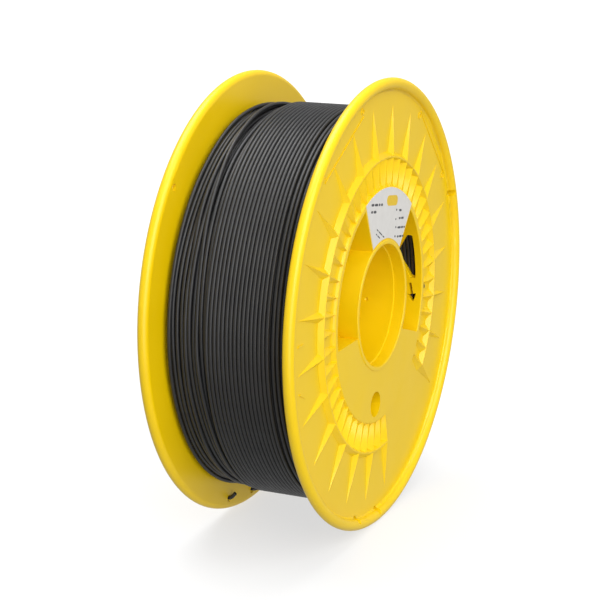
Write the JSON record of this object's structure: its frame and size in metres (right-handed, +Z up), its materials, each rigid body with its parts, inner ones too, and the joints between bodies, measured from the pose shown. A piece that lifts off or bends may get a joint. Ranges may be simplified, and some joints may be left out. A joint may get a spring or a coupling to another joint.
{
  "type": "filament spool",
  "caption": "Flanged plastic spool with a hollow core and central bore, wound full of thin printing filament whose end is threaded through the rear flange.",
  "frame": {"origin": "middle of the bore, half way between the two faces", "axes": "+Z up, with the spool standing on its rims; -Y towards the labelled face along the bore; +X to the right seen from the labelled face"},
  "size_m": [0.2, 0.07, 0.2],
  "materials": {
    "spool_plastic": "yellow moulded plastic, satin",
    "label_paper": "white coated paper sticker",
    "filament": "dark grey extruded filament, satin"
  },
  "bodies": {
    "root": {"front_half": "spool_plastic", "rear_half": "spool_plastic", "label": "label_paper", "filament_inner_layers": "filament", "filament_top_layer": "filament", "filament_outer_turns": "filament", "filament_tail": "filament", "filament_start": "filament"}
  },
  "joints": []
}
